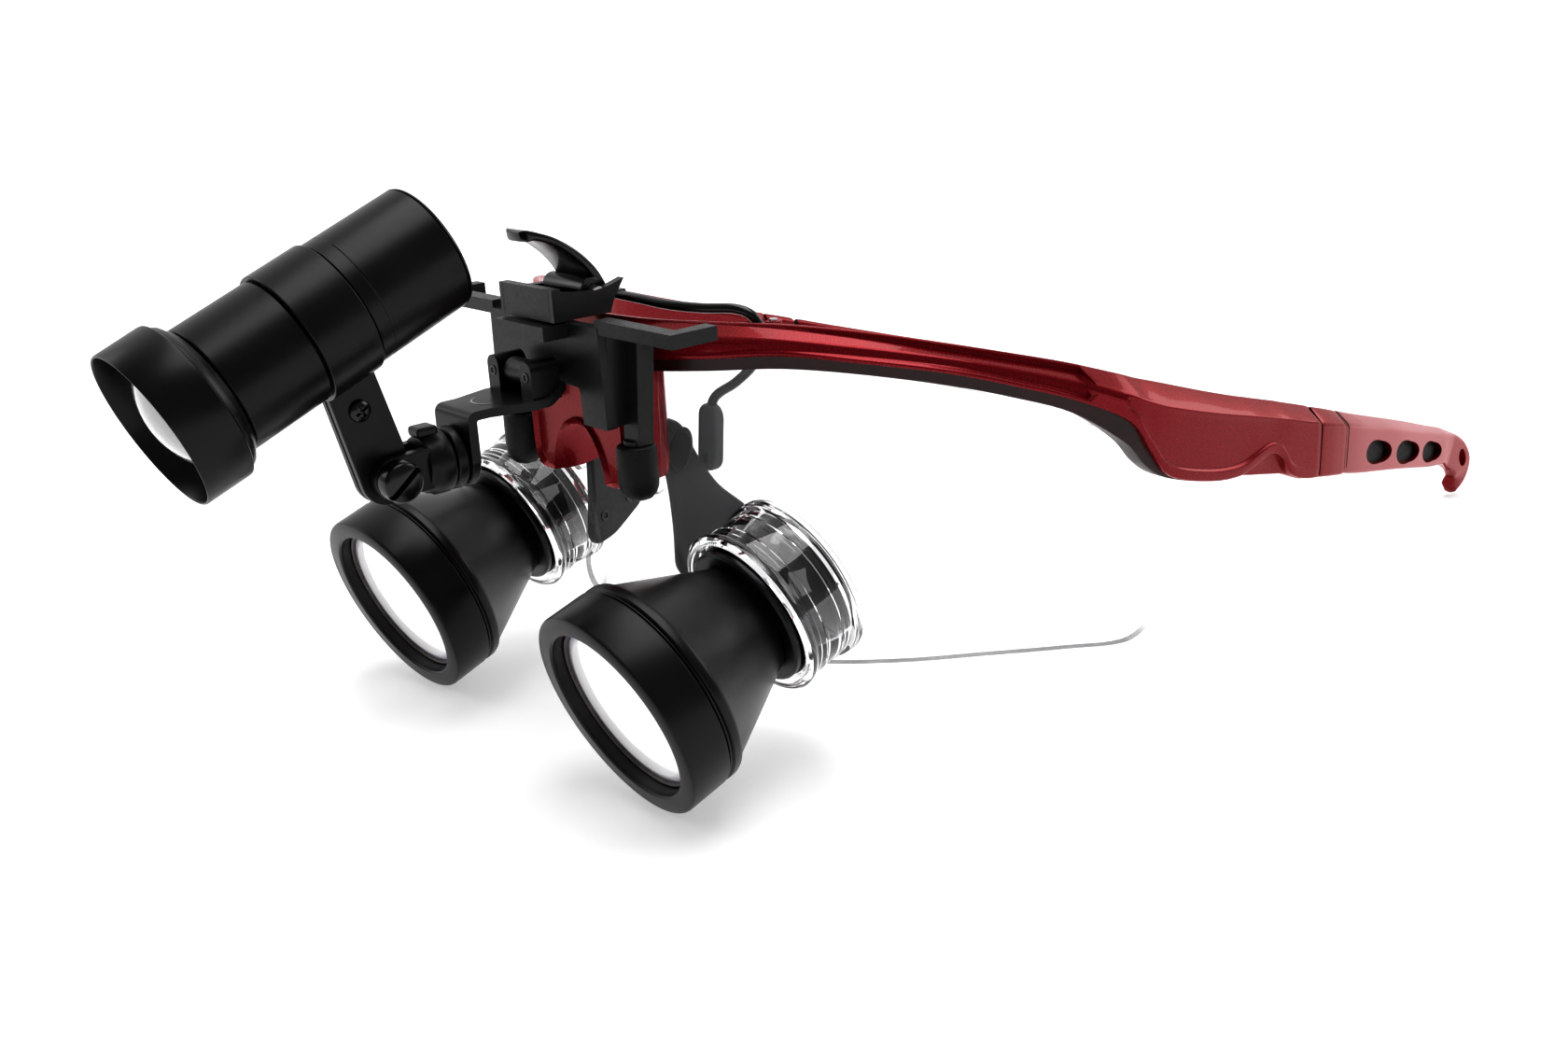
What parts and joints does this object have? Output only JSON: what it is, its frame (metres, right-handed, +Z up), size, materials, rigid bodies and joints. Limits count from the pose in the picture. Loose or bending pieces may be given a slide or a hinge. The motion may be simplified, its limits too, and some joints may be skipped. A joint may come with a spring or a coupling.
{
  "type": "dental loupes",
  "caption": "Wrap-around eyeglass frame with through-the-lens magnifiers angled down, folding temples and a clip-on headlight on an adjustable arm.",
  "frame": {"origin": "middle of the underside of the bounding box, on the surface that the bezels and temple tips rest on", "axes": "+X to the wearer's left, -Y the way the wearer looks, +Y towards the temple tips, +Z up"},
  "size_m": [0.136, 0.2512, 0.0841],
  "materials": {
    "red_paint": "glossy metallic wine-red paint on plastic",
    "clear_plastic": "clear polished polycarbonate",
    "optical_glass": "coated optical glass",
    "black_anodised": "satin black anodised",
    "black_metal": "black coated steel",
    "clip_plastic": "moulded, fine satin",
    "black_rubber": "soft matte",
    "nose_rubber": "soft matte",
    "steel": "plain turned",
    "led_board": "phosphor dome on a board"
  },
  "bodies": {
    "frame": {"front_frame": "red_paint", "clip_base": "clip_plastic", "lever_tray": "clip_plastic", "lever_pin": "steel", "arm_pin": "steel", "lens_left": "clear_plastic", "nose_pad_left": "nose_rubber", "objective_bezel_left": "black_anodised", "objective_lens_left": "optical_glass", "cone_housing_left": "black_anodised", "neck_flange_left": "black_anodised", "carrier_ring_left": "clear_plastic", "eyepiece_tube_left": "black_anodised", "eyepiece_lens_left": "optical_glass", "hinge_pin_left": "steel", "post_sleeve_left": "black_rubber", "lens_right": "clear_plastic", "nose_pad_right": "nose_rubber", "objective_bezel_right": "black_anodised", "objective_lens_right": "optical_glass", "cone_housing_right": "black_anodised", "neck_flange_right": "black_anodised", "carrier_ring_right": "clear_plastic", "eyepiece_tube_right": "black_anodised", "eyepiece_lens_right": "optical_glass", "hinge_pin_right": "steel", "post_sleeve_right": "black_rubber"},
    "temple_left_body": {"temple_collar_left": "red_paint", "temple_left": "red_paint"},
    "temple_right_body": {"temple_collar_right": "red_paint", "temple_right": "red_paint"},
    "clip": {"clip_lever": "black_metal", "spring_wire_left": "black_metal", "spring_wire_right": "black_metal", "spring_pad_left": "black_rubber", "spring_pad_right": "black_rubber"},
    "arm": {"lamp_arm": "black_anodised", "swivel_washer": "black_anodised"},
    "fork": {"lamp_fork": "black_anodised", "swivel_rivet": "steel", "pivot_screw": "black_metal", "pivot_nut": "black_metal"},
    "lamp": {"lamp_hood": "black_anodised", "lamp_lens": "optical_glass", "lamp_barrel": "black_anodised", "led_module": "led_board", "lamp_clamp": "black_anodised", "clamp_screw": "black_metal", "lamp_rear_body": "black_anodised", "lamp_end_cap": "black_anodised"}
  },
  "joints": [
    {"name": "temple_left_fold", "type": "hinge", "parent": "frame", "child": "temple_left_body", "pos_m": [0.0619, 0.0324, 0.035], "axis": [0, 0, 1], "range_deg": [0, 92]},
    {"name": "temple_right_fold", "type": "hinge", "parent": "frame", "child": "temple_right_body", "pos_m": [-0.0619, 0.0324, 0.035], "axis": [0, 0, -1], "range_deg": [0, 72]},
    {"name": "arm_flip", "type": "hinge", "parent": "frame", "child": "arm", "pos_m": [0, -0.0677, 0.0562], "axis": [-1, 0, 0], "range_deg": [0, 24]},
    {"name": "lamp_swivel", "type": "hinge", "parent": "arm", "child": "fork", "pos_m": [0, -0.0842, 0.0465], "axis": [0, 1, 0], "range_deg": [-30, 30]},
    {"name": "lamp_tilt", "type": "hinge", "parent": "fork", "child": "lamp", "pos_m": [0, -0.0914, 0.0463], "axis": [1, 0, 0], "range_deg": [-20, 30]},
    {"name": "clip_release", "type": "hinge", "parent": "frame", "child": "clip", "pos_m": [0, -0.0582, 0.0669], "axis": [1, 0, 0], "range_deg": [0, 20], "stiffness_Nm_per_rad": 0.05, "springref_deg": -11.46}
  ]
}
